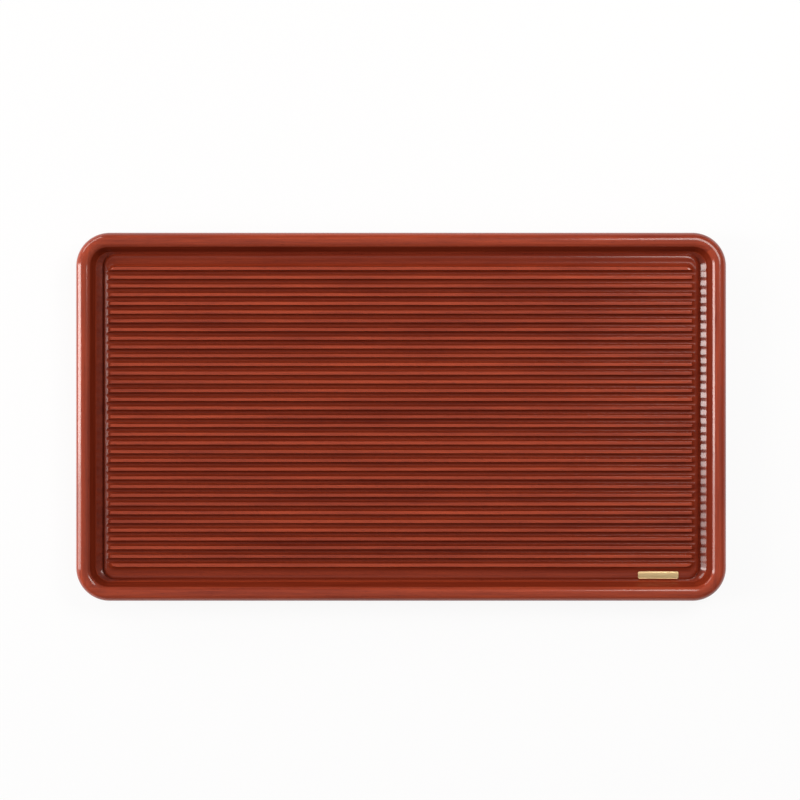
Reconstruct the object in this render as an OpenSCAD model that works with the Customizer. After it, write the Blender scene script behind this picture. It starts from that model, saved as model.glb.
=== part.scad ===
// Ribbed tea tray: a rounded hardwood frame round a panel of five ribbed boards.
// Water runs along the grooves between the ribs into a channel that runs round inside the rim.
// The origin lies at the middle of the footprint, at the height of the surface the tray stands on.
// X runs along the length, Y from front to back and Z up. Sizes are in millimetres.

/* [Tray] */
// Length over the frame, left to right
tray_l = 600; // [480:5:720]
// Width of the plain border between the ribs and the frame, at the front and back
border_w = 13.75; // [12.5:0.25:24]
// Height from the table to the top of the rim
tray_h = 30; // [28:0.5:40]
// Outer corner radius of the frame, seen from above
corner_r = 31; // [30:1:45]

/* [Rim] */
// Width of the rim, from its outer face to where its inner rounding would stand upright
rim_w = 14.65; // [14.6:0.05:18]
// Rounding of the rim's outer top edge
rim_round_out = 8; // [3:0.5:8]
// Rounding of the rim's inner top edge
rim_round_in = 6.5; // [4:0.5:6.5]
// Rounding of the frame's outer bottom edge
foot_round = 3; // [1:0.5:4]
// Radius of the hollow that runs down from the rim into the channel
cove_r = 15; // [13:0.5:17]
// Distance from the rim to the joint with the panel, inside the hollow
ledge_w = 3.15; // [3:0.05:6]

/* [Ribbed panel] */
// Ribs on each of the five boards
ribs_per_board = 7; // [5:2:9]
// Distance from one rib to the next
rib_pitch = 8.05; // [7:0.05:9]
// Flat width on top of each rib
rib_flat = 3.2; // [2.4:0.1:4]
// Depth of the tops of the ribs below the rim
rib_drop = 6; // [4:0.5:8]
// Depth of the grooves below the tops of the ribs
groove_d = 4.4; // [3.4:0.1:4.6]
// Height of the raised edge's crest below the tops of the ribs
crest_drop = 4.1; // [3:0.1:4.3]
// Depth of the frame's hollow below the crest, where the two sides of the channel don't yet meet
channel_d = 5.2; // [4.6:0.1:5.3]
// Rounding of the panel's raised edge, in section
edge_r = 5; // [4.6:0.1:5.4]
// Corner radius of the panel's raised edge, seen from above
edge_corner_r = 7; // [5:0.5:10]
// Distance from the rim to the crest of the raised edge, at the left and right
edge_end = 14.35; // [13.8:0.05:15]
// Distance from the panel's front and back edges to the crest of the raised edge
edge_in = 5.2; // [5:0.1:6]
// Radius of the hollow that runs round the field of ribs
valley_r = 5.5; // [5.2:0.1:6]
// Corner radius of the hollow's lowest line, seen from above
valley_corner_r = 9.5; // [7.5:0.5:12]

/* [Joinery] */
// Height of the wood above the table, which is what the feet stand proud
foot_h = 4; // [3:0.5:6]
// Space under the panel, down to the frame's lower face
recess_h = 5.5; // [5:0.5:7]
// Thickness of the tongue that runs round the panel
tongue_t = 2.6; // [2:0.1:3]
// Depth of that tongue in the frame
tongue_d = 5.7; // [4:0.1:7]
// Depth of the tongues between the boards
board_tongue_d = 3.5; // [2.5:0.5:5]
// Width of each cross batten
batten_w = 30; // [26:1:40]
// Distance from the panel's ends to the middle of the outer battens
batten_in = 47.2; // [20:0.1:90]
// Width of a batten's dovetail at its neck
dovetail_neck = 20; // [14:1:22]
// Amount by which the dovetail widens on each side
dovetail_flare = 2; // [1:0.25:2.5]
// Height of the dovetail
dovetail_h = 3; // [2.5:0.1:3.2]
// Length of each corner spline across its mitre
spline_l = 20; // [14:1:22]
// Width of each corner spline along its mitre
spline_w = 9; // [6:0.5:9]
// Thickness of each corner spline
spline_t = 3; // [2:0.5:4]

/* [Feet and screws] */
// Diameter of a rubber foot where it meets its batten
foot_dia = 20; // [16:1:26]
// Distance from the panel's front and back edges to the middle of each foot
foot_in = 17.2; // [14:0.1:50]
// Diameter of the screws' shanks
screw_dia = 3; // [2.5:0.5:4]
// Diameter of the screws' heads
screw_head_dia = 6.4; // [5.5:0.1:8]
// Thickness of the screws' heads
screw_head_h = 1.8; // [1.5:0.1:2.2]
// Length of a foot screw, below its head
foot_screw_l = 7.5; // [6:0.5:9]
// Length of a batten screw, below its head
batten_screw_l = 12; // [9:1:14]

/* [Plate] */
// Length of the brass plate
plate_l = 37.5; // [24:0.5:60]
// Width of the brass plate
plate_w = 7; // [6:0.1:8]
// Thickness of the brass plate at its middle
plate_t = 1.2; // [0.8:0.1:1.6]
// Corner radius of the brass plate
plate_r = 1.6; // [0.5:0.1:2.5]
// Distance from the panel's right end to the plate's middle
plate_end = 44.2; // [42:0.1:120]
// Distance from the panel's front edge to the plate's middle
plate_in = 5.6; // [5:0.1:6]

/* [Hidden] */
$fn = 96;

// Clearances: glued joints touch on their faces and are a little slack in depth.
slack = 0.1;
tongue_slack = 0.3;
// How far a cut runs past the surface that it opens.
over = 1;
// Wood left above the dovetails and below the splines.
dovetail_cover = 0.3;
spline_cover = 3;
// How far the boards' tongues stop short of the panel's ends.
board_tongue_stop = 8;

wood_color = "#8f3f2c";
hidden_wood_color = "#b07a4e";
rubber_color = "#2b2826";
steel_color = "#b9b6ae";
brass_color = "#d8b46e";

// The ribs.
board_count = 5;
rib_count = board_count * ribs_per_board;
board_w = ribs_per_board * rib_pitch;
field_half_w = (rib_count - 1) / 2 * rib_pitch + rib_flat / 2;

// The plan of the frame and the panel.
rail_w = rim_w + ledge_w;
half_l = tray_l / 2;
panel_half_l = half_l - rail_w;
panel_half_w = field_half_w + border_w;
half_w = panel_half_w + rail_w;
panel_corner_r = corner_r - rail_w;

// Levels above the table.
wood_z = foot_h;
panel_z = wood_z + recess_h;
rib_z = tray_h - rib_drop;
groove_z = rib_z - groove_d;
crest_z = rib_z - crest_drop;
channel_z = crest_z - channel_d;
tongue_z = panel_z + dovetail_h + dovetail_cover;
spline_z = wood_z + spline_cover;

// The rim's inner rounding and the hollow below it, two arcs with a common tangent.
shoulder_u = rim_w - rim_round_in;
shoulder_z = tray_h - rim_round_in;
cove_z = channel_z + cove_r;
cove_u = shoulder_u + other_side(cove_r + rim_round_in, cove_z - shoulder_z);
ledge_z = cove_z - other_side(cove_r, cove_u - rail_w);

// The raised edge: an arc below its crest line.
edge_z = crest_z - edge_r;
edge_x = half_l - rim_w - edge_end;
edge_y = panel_half_w - edge_in;

// The hollow round the field of ribs, a little deeper than the grooves. At the left and right
// it runs out over the raised edge at the end of the block of ribs, and bites a hair into it.
valley_bite = 0.06;
valley_z = groove_z - slack + valley_r;
valley_reach = other_side(valley_r, valley_z - rib_z);
valley_run = other_side(edge_r + valley_r - valley_bite, valley_z - edge_z);
valley_x = edge_x + valley_run;
valley_y = field_half_w + valley_reach;
block_in = valley_run * valley_r / (edge_r + valley_r);
groove_r = (rib_pitch - rib_flat) / 2;
groove_axis_z = groove_z + groove_r;

// The plate and its seat.
plate_seat_d = 1.5;
plate_seat_z = crest_z - plate_seat_d;
plate_crown_r = 26;
plate_x = panel_half_l - plate_end;
plate_y = plate_in - panel_half_w;
stud_dia = 1.6;
stud_l = 3;
stud_inset = 6.75;
stud_pitch = plate_l - 2 * stud_inset;

// The battens, feet and screws.
batten_edge = 1;
foot_taper = 1;
foot_edge = 1;
foot_recess = 0.5;
screw_point = 2;
screw_tip_dia = 0.8;
batten_half_l = panel_half_w - slack;
batten_x = panel_half_l - batten_in;
foot_y = panel_half_w - foot_in;
batten_xs = [-batten_x, 0, batten_x];

// The other short side of a triangle with a right angle.
function other_side(long, short) = sqrt(long * long - short * short);

// The waste outside a convex corner of radius r, which points to +X and +Y.
module corner_waste(r) {
    difference() {
        translate([-r, -r]) square(r + over);
        translate([-r, -r]) circle(r);
    }
}

// A rectangle with round corners.
module rounded_rect(half_x, half_y, r) {
    for (sx = [-1, 1], sy = [-1, 1])
        translate([sx * (half_x - r), sy * (half_y - r)]) circle(r);
    square([2 * half_x, 2 * (half_y - r)], center = true);
    square([2 * (half_x - r), 2 * half_y], center = true);
}

// Section of a rail: x runs inwards from the outer face and y is the height.
module rail_profile() {
    difference() {
        translate([0, wood_z]) square([rail_w, tray_h - wood_z]);
        translate([0, tray_h]) mirror([1, 0]) corner_waste(rim_round_out);
        translate([0, wood_z]) mirror([1, 0]) mirror([0, 1]) corner_waste(foot_round);
        difference() {
            polygon([[shoulder_u, shoulder_z], [cove_u, cove_z],
                [cove_u, tray_h + cove_r], [shoulder_u, tray_h + cove_r]]);
            translate([shoulder_u, shoulder_z]) circle(rim_round_in);
        }
        translate([cove_u, cove_z]) circle(cove_r);
        translate([rail_w - tongue_d - tongue_slack, tongue_z - slack / 2])
            square([tongue_d + tongue_slack + over, tongue_t + slack]);
    }
}

// Half of a rail's rounded corner, ending on the mitre plane.
module rail_corner_half() {
    rotate([0, 0, -90]) rotate_extrude(angle = 45)
        translate([corner_r, 0]) mirror([1, 0]) rail_profile();
}

// The space for a spline across a mitre, seen from the corner's centre.
module spline_shape(play) {
    rotate([0, 0, -45])
        translate([corner_r - rail_w / 2 - spline_w / 2 - play / 2, -spline_l / 2 - play / 2, spline_z])
        cube([spline_w + play, spline_l + play, spline_t]);
}

// One rail with its outer face towards -Y: a straight stretch and two mitred half corners.
module rail(straight, reach) {
    difference() {
        union() {
            translate([-straight / 2, -reach, 0]) rotate([90, 0, 90])
                linear_extrude(straight) rail_profile();
            for (side = [0, 1]) mirror([side, 0, 0])
                translate([straight / 2, -reach + corner_r, 0]) rail_corner_half();
        }
        for (side = [0, 1]) mirror([side, 0, 0])
            translate([straight / 2, -reach + corner_r, 0]) spline_shape(slack);
    }
}

module front_rail() {
    color(wood_color) rail(tray_l - 2 * corner_r, half_w);
}

module back_rail() {
    color(wood_color) rotate([0, 0, 180]) rail(tray_l - 2 * corner_r, half_w);
}

module left_rail() {
    color(wood_color) rotate([0, 0, -90]) rail(2 * (half_w - corner_r), half_l);
}

module right_rail() {
    color(wood_color) rotate([0, 0, 90]) rail(2 * (half_w - corner_r), half_l);
}

// A spline at one corner; right and back are 1 or -1.
module spline(right, back) {
    color(hidden_wood_color)
        mirror([right < 0 ? 1 : 0, 0, 0]) mirror([0, back > 0 ? 1 : 0, 0])
        translate([half_l - corner_r, corner_r - half_w, 0]) spline_shape(0);
}

// Half section of the raised edge: x runs out from the crest line.
module edge_profile(inner) {
    translate([-inner, panel_z]) square([inner, crest_z - panel_z]);
    intersection() {
        translate([0, edge_z]) circle(edge_r);
        translate([0, edge_z - over]) square([edge_r, edge_r + over]);
    }
}

// Section of the hollow's foot, which a board carries on from the rail's ledge.
module cove_foot() {
    difference() {
        translate([0, panel_z]) square([cove_u - rail_w, ledge_z - panel_z]);
        translate([0, cove_z]) circle(cove_r);
    }
}

// Section along a board: channel floors, raised edges and the block that the ribs are cut from.
module board_section() {
    difference() {
        union() {
            translate([-panel_half_l, panel_z]) square([2 * panel_half_l, channel_z - panel_z]);
            translate([block_in - valley_x, panel_z])
                square([2 * (valley_x - block_in), rib_z - panel_z]);
            for (side = [0, 1]) mirror([side, 0]) {
                translate([edge_x, 0]) edge_profile(edge_x);
                translate([half_l - cove_u, 0]) cove_foot();
            }
        }
        for (side = [0, 1]) mirror([side, 0]) translate([valley_x, valley_z]) circle(valley_r);
    }
}

// Extrudes a section of x and z from y0 to y1.
module along_y(y0, y1) {
    translate([0, y1, 0]) rotate([90, 0, 0]) linear_extrude(y1 - y0) children();
}

// Extrudes a section of y and z from x0 to x1.
module along_x(x0, x1) {
    translate([x0, 0, 0]) rotate([90, 0, 90]) linear_extrude(x1 - x0) children();
}

// The grooves of one board, the first on the line y0.
module grooves(y0, count) {
    for (i = [0 : count - 1])
        along_x(-edge_x - edge_r, edge_x + edge_r)
            translate([y0 + i * rib_pitch, groove_axis_z]) {
                circle(groove_r);
                translate([-groove_r, 0]) square([2 * groove_r, rib_z]);
            }
}

// Section of a batten's dovetail, or with play, of the slot that it slides in.
module dovetail_section(play) {
    neck = dovetail_neck / 2 + play;
    top = neck + dovetail_flare;
    polygon([[-neck, panel_z], [neck, panel_z], [top, panel_z + dovetail_h + play],
        [-top, panel_z + dovetail_h + play]]);
    if (play > 0) translate([-neck, panel_z - over]) square([2 * neck, over]);
}

// What every board has cut in its underside for the three battens.
module batten_slots() {
    for (x = batten_xs) along_y(-half_w, half_w) translate([x, 0]) dovetail_section(slack);
}

// The tongue that one board's edge on the line y carries, or with play, the groove for it.
module board_tongue(y, play) {
    reach = panel_half_l - board_tongue_stop + play;
    translate([-reach, y - play, tongue_z - play / 2])
        cube([2 * reach, board_tongue_d + 2 * play, tongue_t + play]);
}

// The part of the panel's outer tongue that lies between y0 and y1.
module frame_tongue(y0, y1) {
    translate([0, 0, tongue_z]) linear_extrude(tongue_t) intersection() {
        rounded_rect(panel_half_l + tongue_d, panel_half_w + tongue_d, panel_corner_r + tongue_d);
        translate([-half_l, y0]) square([tray_l, y1 - y0]);
    }
}

// A board that spans the panel between two others, from y0 on.
module inner_board(y0) {
    y1 = y0 + board_w;
    difference() {
        union() {
            along_y(y0, y1) board_section();
            frame_tongue(y0, y1);
        }
        grooves(y0, ribs_per_board + 1);
        batten_slots();
    }
}

// The raised edge along one end and the outer side of a border board.
module border_platform(y0) {
    corner_x = edge_x - edge_corner_r;
    corner_y = edge_y - edge_corner_r;
    along_y(y0, corner_y)
        for (side = [0, 1]) mirror([side, 0]) translate([edge_x, 0]) edge_profile(edge_x);
    along_x(-corner_x, corner_x) translate([edge_y, 0]) edge_profile(edge_y - y0);
    for (side = [0, 1]) mirror([side, 0, 0])
        translate([corner_x, corner_y, 0]) rotate_extrude(angle = 90)
            translate([edge_corner_r, 0]) edge_profile(edge_corner_r);
}

// The foot of the frame's hollow, carried round the end and side of a border board.
module border_cove(y0) {
    corner_x = half_l - corner_r;
    corner_y = half_w - corner_r;
    along_x(-corner_x, corner_x) translate([half_w - cove_u, 0]) cove_foot();
    for (side = [0, 1]) mirror([side, 0, 0]) {
        along_y(y0, corner_y) translate([half_l - cove_u, 0]) cove_foot();
        translate([corner_x, corner_y, 0]) rotate_extrude(angle = 90) intersection() {
            translate([corner_r - cove_u, 0]) cove_foot();
            square([corner_r, tray_h]);
        }
    }
}

// The hollow round the ribs, as cut in a border board.
module border_valley(y0) {
    corner_x = valley_x - valley_corner_r;
    corner_y = valley_y - valley_corner_r;
    along_x(-corner_x, corner_x) translate([valley_y, valley_z]) circle(valley_r);
    for (side = [0, 1]) mirror([side, 0, 0]) {
        along_y(y0 - over, corner_y) translate([valley_x, valley_z]) circle(valley_r);
        translate([corner_x, corner_y, 0]) rotate_extrude(angle = 90)
            translate([valley_corner_r, valley_z]) circle(valley_r);
    }
}

// The board at the back of the panel, with rounded corners and a plain border.
module border_board() {
    y0 = board_w * board_count / 2 - board_w;
    difference() {
        union() {
            intersection() {
                union() {
                    translate([-half_l, y0, panel_z]) cube([tray_l, half_w, channel_z - panel_z]);
                    border_platform(y0);
                    border_cove(y0);
                    translate([0, 0, panel_z]) linear_extrude(rib_z - panel_z) intersection() {
                        rounded_rect(valley_x - block_in, valley_y - block_in, valley_corner_r - block_in);
                        translate([-half_l, y0]) square([tray_l, half_w]);
                    }
                }
                linear_extrude(tray_h) rounded_rect(panel_half_l, panel_half_w, panel_corner_r);
            }
            frame_tongue(y0, half_w);
        }
        border_valley(y0);
        grooves(y0, ribs_per_board);
        batten_slots();
        board_tongue(y0, slack);
    }
}

module back_board() {
    color(wood_color) border_board();
}

module front_board() {
    color(wood_color) difference() {
        mirror([0, 1, 0]) border_board();
        translate([plate_x, plate_y, plate_seat_z]) linear_extrude(tray_h)
            rounded_rect(plate_l / 2 + slack, plate_w / 2 + slack, plate_r + slack);
        plate_studs(tongue_slack);
    }
}

module back_mid_board() {
    y0 = board_w / 2;
    color(wood_color) difference() {
        union() {
            inner_board(y0);
            board_tongue(y0 + board_w, 0);
        }
        board_tongue(y0, slack);
    }
}

module front_mid_board() {
    mirror([0, 1, 0]) back_mid_board();
}

module middle_board() {
    color(wood_color) difference() {
        union() {
            inner_board(-board_w / 2);
            for (side = [0, 1]) mirror([0, side, 0]) board_tongue(board_w / 2, 0);
        }
        for (x = batten_xs) translate([x, 0, 0]) batten_screw();
    }
}

// A screw with a flat head, standing on the height z.
module screw(z, shank) {
    translate([0, 0, z]) cylinder(d = screw_head_dia, h = screw_head_h);
    translate([0, 0, z + screw_head_h]) {
        cylinder(d = screw_dia, h = shank - screw_point);
        translate([0, 0, shank - screw_point])
            cylinder(d1 = screw_dia, d2 = screw_tip_dia, h = screw_point);
    }
}

module foot_screw() {
    screw(foot_recess, foot_screw_l);
}

module batten_screw() {
    screw(wood_z + foot_recess, batten_screw_l);
}

// One cross batten: a bar under the panel with a dovetail that slides along the boards.
module batten(screws) {
    side = batten_w / 2;
    bottom = side - batten_edge;
    color(hidden_wood_color) difference() {
        along_y(-batten_half_l, batten_half_l) {
            polygon([[-bottom, wood_z], [bottom, wood_z], [side, wood_z + batten_edge],
                [side, panel_z], [-side, panel_z], [-side, wood_z + batten_edge]]);
            dovetail_section(0);
        }
        batten_screw();
        translate([0, 0, wood_z - over]) cylinder(d = screw_head_dia, h = foot_recess + over);
        if (screws) for (y = [-foot_y, foot_y]) translate([0, y, 0]) foot_screw();
    }
}

module left_batten() {
    translate([-batten_x, 0, 0]) batten(true);
}

module middle_batten() {
    batten(false);
}

module right_batten() {
    translate([batten_x, 0, 0]) batten(true);
}

// A rubber foot, tapered, with a deep seat for its screw.
module foot() {
    r = foot_dia / 2;
    color(rubber_color) difference() {
        rotate_extrude() polygon([[0, 0], [r - foot_taper - foot_edge, 0],
            [r - foot_taper, foot_edge], [r, foot_h], [0, foot_h]]);
        foot_screw();
        translate([0, 0, -over]) cylinder(d = screw_head_dia, h = foot_recess + over);
    }
}

module foot_at(right, back) {
    translate([right * batten_x, back * foot_y, 0]) foot();
}

module foot_screws() {
    color(steel_color) for (x = [-batten_x, batten_x], y = [-foot_y, foot_y])
        translate([x, y, 0]) foot_screw();
}

module batten_screws() {
    color(steel_color) for (x = batten_xs) translate([x, 0, 0]) batten_screw();
}

// The studs under the brass plate; play widens and deepens them to the holes that they are glued in.
module plate_studs(play) {
    for (side = [-1, 1])
        translate([plate_x + side * stud_pitch / 2, plate_y, plate_seat_z - stud_l - play])
            cylinder(d = stud_dia + play, h = stud_l + play + slack);
}

// The brass plate, slightly crowned across its width.
module brass_plate() {
    color(brass_color) {
        intersection() {
            translate([plate_x, plate_y, plate_seat_z]) linear_extrude(plate_t)
                rounded_rect(plate_l / 2, plate_w / 2, plate_r);
            along_x(plate_x - plate_l, plate_x + plate_l)
                translate([plate_y, plate_seat_z + plate_t - plate_crown_r]) circle(plate_crown_r);
        }
        plate_studs(0);
    }
}

front_rail();
back_rail();
left_rail();
right_rail();
spline(-1, -1);  // spline_front_left
spline(1, -1);  // spline_front_right
spline(-1, 1);  // spline_back_left
spline(1, 1);  // spline_back_right
front_board();
front_mid_board();
middle_board();
back_mid_board();
back_board();
left_batten();
middle_batten();
right_batten();
foot_at(-1, -1);  // foot_front_left
foot_at(1, -1);  // foot_front_right
foot_at(-1, 1);  // foot_back_left
foot_at(1, 1);  // foot_back_right
foot_screws();
batten_screws();
brass_plate();
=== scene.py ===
# %% [markdown]
# # A ribbed tea tray
# The tray is a rounded hardwood frame round a panel of five boards, which are cut into 35 ribs.
# The CAD model fixes every size. This lesson loads it as a fixed frame, dresses each piece with
# finer shapes and lacquered wood, and lights it as a product photograph is, mostly from a tall
# window on the left.

# %% Load the frame
import math

import bmesh
import bpy
import numpy as np
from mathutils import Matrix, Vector


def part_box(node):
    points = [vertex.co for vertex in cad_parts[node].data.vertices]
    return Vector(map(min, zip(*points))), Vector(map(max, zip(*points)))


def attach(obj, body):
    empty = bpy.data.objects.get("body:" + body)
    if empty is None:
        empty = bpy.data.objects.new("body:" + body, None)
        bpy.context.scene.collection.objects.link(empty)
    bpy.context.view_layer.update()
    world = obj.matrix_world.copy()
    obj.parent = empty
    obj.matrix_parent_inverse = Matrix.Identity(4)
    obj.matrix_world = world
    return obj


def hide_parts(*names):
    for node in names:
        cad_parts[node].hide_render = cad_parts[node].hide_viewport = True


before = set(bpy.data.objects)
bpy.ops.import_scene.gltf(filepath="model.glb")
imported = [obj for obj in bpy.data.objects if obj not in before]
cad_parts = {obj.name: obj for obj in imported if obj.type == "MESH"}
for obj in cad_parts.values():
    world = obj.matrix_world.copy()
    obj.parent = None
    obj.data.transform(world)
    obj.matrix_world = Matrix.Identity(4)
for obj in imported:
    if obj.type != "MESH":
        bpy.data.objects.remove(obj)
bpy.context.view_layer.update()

# %% [markdown]
# Blender works in metres and the workshop in millimetres, so one named factor keeps the numbers
# readable. The levels and radii below are those that the CAD model is cut to. What a node's own
# box can tell, such as the length of the tray, is asked from the frame.

# %% Sizes
MM = 0.001
half_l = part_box("right_rail")[1].x
half_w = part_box("back_rail")[1].y
rim_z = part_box("front_rail")[1].z
corner_r = 31 * MM
rim_w = 14.65 * MM
rail_w = 17.8 * MM
wood_z = 4 * MM
panel_z = 9.5 * MM
crest_z = 19.9 * MM
groove_z = 19.6 * MM
rib_z = 24.0 * MM
rib_pitch = 8.05 * MM
rib_flat = 3.2 * MM
rib_count = 35
boards = 5
edge_x = 271 * MM
edge_y = 147 * MM
tiny = 1e-7
panel_half_l = half_l - rail_w
panel_half_w = half_w - rail_w
panel_corner_r = corner_r - rail_w
print("half length and width:", round(half_l, 4), round(half_w, 4), "rim:", round(rim_z, 4))

# %% [markdown]
# ## The camera
# The photograph looks straight down from about one and a half metres. The picture is 800 pixels
# square and shows 739 mm of the tray's top, which settles the lens for that height. The tray lies
# a little below the middle of the picture, so the camera stands a little behind the tray's middle.

# %% Camera
sensor = 0.036
camera_height = 1.5
seen_width = 0.73904
tray_level = 22 * MM
eye_x, eye_y = -1.0 * MM, 15.5 * MM
eye = bpy.data.cameras.new("eye")
eye.sensor_width = sensor * 1000
eye.lens = sensor * 1000 * camera_height / seen_width
eye_object = bpy.data.objects.new("eye", eye)
eye_object.location = (eye_x, eye_y, camera_height + tray_level)
bpy.context.scene.collection.objects.link(eye_object)
bpy.context.scene.camera = eye_object
bpy.context.scene.view_settings.view_transform = "Standard"
print("lens:", round(eye.lens, 2), "mm")

# %% [markdown]
# ## Formulas as nodes
# Both geometry trees and materials do their sums with Math nodes. Placing them by hand makes long
# code, so a small class lets a formula be written as a formula: adding two rules places an Add
# node, and the result is again a rule.

# %% Rules
class Rule:
    """A number in a node tree. Sums with rules place Math nodes."""

    def __init__(self, tree, socket):
        self.tree, self.socket = tree, socket

    def math(self, operation, *others):
        node = self.tree.nodes.new("ShaderNodeMath")
        node.operation = operation
        for entry, value in zip(node.inputs, (self,) + others):
            if isinstance(value, Rule):
                self.tree.links.new(value.socket, entry)
            else:
                entry.default_value = value
        return Rule(self.tree, node.outputs[0])

    def __add__(self, other):
        return self.math("ADD", other)

    def __sub__(self, other):
        return self.math("SUBTRACT", other)

    def __mul__(self, other):
        return self.math("MULTIPLY", other)

    def __truediv__(self, other):
        return self.math("DIVIDE", other)

    def least(self, other, soft=0.0):
        return self.math("SMOOTH_MIN", other, soft) if soft else self.math("MINIMUM", other)

    def most(self, other, soft=0.0):
        return self.math("SMOOTH_MAX", other, soft) if soft else self.math("MAXIMUM", other)

    def above(self, other):
        return self.math("GREATER_THAN", other)

    def root(self):
        return self.most(0.0).math("SQRT")


def split(tree, vector):
    """The three parts of a vector socket, as rules."""
    node = tree.nodes.new("ShaderNodeSeparateXYZ")
    tree.links.new(vector, node.inputs[0])
    return [Rule(tree, out) for out in node.outputs]


# %% [markdown]
# ## Helpers for materials
# A photograph of wood could be laid on the tray, but it would bring its own light with it and
# show its seams. So every finish is made by nodes from noise, which fits a piece of any size.
# Each material needs the same few steps: a group with named sockets, noise that is drawn out
# along one axis, a soft threshold, and a mix of two colours.

# %% Shader helpers
def shader_group(name, inputs, outputs):
    group = bpy.data.node_groups.new(name, "ShaderNodeTree")
    for label, (kind, value) in inputs.items():
        socket = group.interface.new_socket(label, in_out="INPUT", socket_type=kind)
        if value is not None:
            socket.default_value = value
    for label, kind in outputs.items():
        group.interface.new_socket(label, in_out="OUTPUT", socket_type=kind)
    return group, group.nodes.new("NodeGroupInput"), group.nodes.new("NodeGroupOutput")


def stretched_noise(tree, vector, scale, detail=3.0, rough=0.5):
    """Noise with its own scale, in lumps to the metre, along each axis."""
    mapping = tree.nodes.new("ShaderNodeMapping")
    mapping.inputs["Scale"].default_value = scale
    tree.links.new(vector, mapping.inputs["Vector"])
    noise = tree.nodes.new("ShaderNodeTexNoise")
    noise.inputs["Scale"].default_value = 1.0
    noise.inputs["Detail"].default_value = detail
    noise.inputs["Roughness"].default_value = rough
    tree.links.new(mapping.outputs[0], noise.inputs["Vector"])
    return Rule(tree, noise.outputs["Fac"])


def remap(rule, low, high, to_low=0.0, to_high=1.0):
    node = rule.tree.nodes.new("ShaderNodeMapRange")
    node.interpolation_type = "SMOOTHSTEP"
    for entry, value in zip(node.inputs[1:5], (low, high, to_low, to_high)):
        entry.default_value = value
    rule.tree.links.new(rule.socket, node.inputs[0])
    return Rule(rule.tree, node.outputs[0])


def mix_colour(tree, amount, first, second):
    node = tree.nodes.new("ShaderNodeMix")
    node.data_type = "RGBA"
    tree.links.new(amount.socket, node.inputs["Factor"])
    for entry, value in ((node.inputs[6], first), (node.inputs[7], second)):
        if isinstance(value, bpy.types.NodeSocket):
            tree.links.new(value, entry)
        else:
            entry.default_value = value
    return node.outputs[2]


# %% [markdown]
# ## Lacquered wood
# The tray is a red hardwood under satin lacquer. The wood shows long streaks, finer fibres and
# short dark pores, all drawn out along the board. The grooves, the channel and the steep inner
# walls are darkened towards the pore colour; that is painted shade, put in the colour for the
# shade that falls in these hollows. Where no pad reaches, in the grooves and on those walls, the
# lacquer is duller too. The same grain serves the frame, the panel and the plain wood underneath,
# so it is one node group. It reads a vector whose X runs along the grain, and gives a colour with
# that painted shade in it, a roughness, a height and how well polished a place is; the lacquer
# itself stays in each material.

# %% Grain group
colour_kind, value_kind, vector_kind = "NodeSocketColor", "NodeSocketFloat", "NodeSocketVector"
grain, grain_in, grain_out = shader_group(
    "wood grain",
    {
        "Vector": (vector_kind, None),
        "Dark": (colour_kind, (0.16, 0.014, 0.004, 1)),
        "Light": (colour_kind, (0.40, 0.06, 0.018, 1)),
        "Pore and painted shade": (colour_kind, (0.07, 0.006, 0.002, 1)),
        "Contrast": (value_kind, 1.0),
        "Place": (vector_kind, None),
        "All sides": (value_kind, 0.0),
    },
    {"Color": colour_kind, "Roughness": value_kind, "Height": value_kind, "Polish": value_kind},
)
steep_facing, open_facing = 0.40, 0.80
# The two shade amounts set how far walls and hollows are darkened in the colour: painted shade.
wall_shade_amount, hollow_shade_amount, dulling, least_polish = 0.65, 0.5, 1.5, 0.05
pore_start, pore_full, pore_strength, middle_rough = 0.66, 0.76, 0.7, 0.42
flow = grain_in.outputs["Vector"]
figure = stretched_noise(grain, flow, (3, 70, 70), 2.0)
streaks = stretched_noise(grain, flow, (14, 420, 420), 4.0, 0.6)
fibres = stretched_noise(grain, flow, (60, 2400, 2400), 2.0)
pores = remap(stretched_noise(grain, flow, (170, 2600, 2600), 1.0), pore_start, pore_full)
tone = (figure - 0.5) * 1.0 + (streaks - 0.5) * 1.4 + (fibres - 0.5) * 0.5
tone = tone * Rule(grain, grain_in.outputs["Contrast"]) + 0.5
wood = mix_colour(grain, tone, grain_in.outputs["Dark"], grain_in.outputs["Light"])
wood = mix_colour(grain, pores * pore_strength, wood, grain_in.outputs["Pore and painted shade"])
facing = split(grain, grain.nodes.new("ShaderNodeNewGeometry").outputs["Normal"])
spot = split(grain, grain_in.outputs["Place"])
all_sides = Rule(grain, grain_in.outputs["All sides"])
inward = (facing[0] * spot[0] + facing[1] * spot[1]).math("LESS_THAN", -1 * MM).most(all_sides)
within = remap(spot[0].math("ABSOLUTE"), edge_x + 1.5 * MM, edge_x + 5 * MM, 1.0, 0.0)
within = within * remap(spot[1].math("ABSOLUTE"), edge_y - 1 * MM, edge_y + 1.5 * MM, 1.0, 0.0)
# Painted shade: steep faces that look inward and, on the panel, everything below the rib tops are
# marked for darkening.
wall_shade = remap(facing[2], steep_facing, open_facing, wall_shade_amount, 0.0) * inward
hollow_shade = remap(spot[2], groove_z, rib_z - 0.4 * MM, hollow_shade_amount, 0.0) * all_sides
painted_shade = wall_shade.most(hollow_shade)
polish = wall_shade.most(hollow_shade * within) * -dulling + 1.0
# Painted shade: the marked walls and hollows are mixed towards the pore colour.
wood = mix_colour(grain, painted_shade, wood, grain_in.outputs["Pore and painted shade"])
rough = (streaks - 0.5) * 0.12 + pores * 0.1 + middle_rough
height = fibres * 0.5 + streaks - pores * 0.6
results = {"Roughness": rough, "Height": height, "Polish": polish.most(least_polish)}
for label, rule in results.items():
    grain.links.new(rule.socket, grain_out.inputs[label])
grain.links.new(wood, grain_out.inputs["Color"])
print("grain group:", len(grain.nodes), "nodes")

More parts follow.
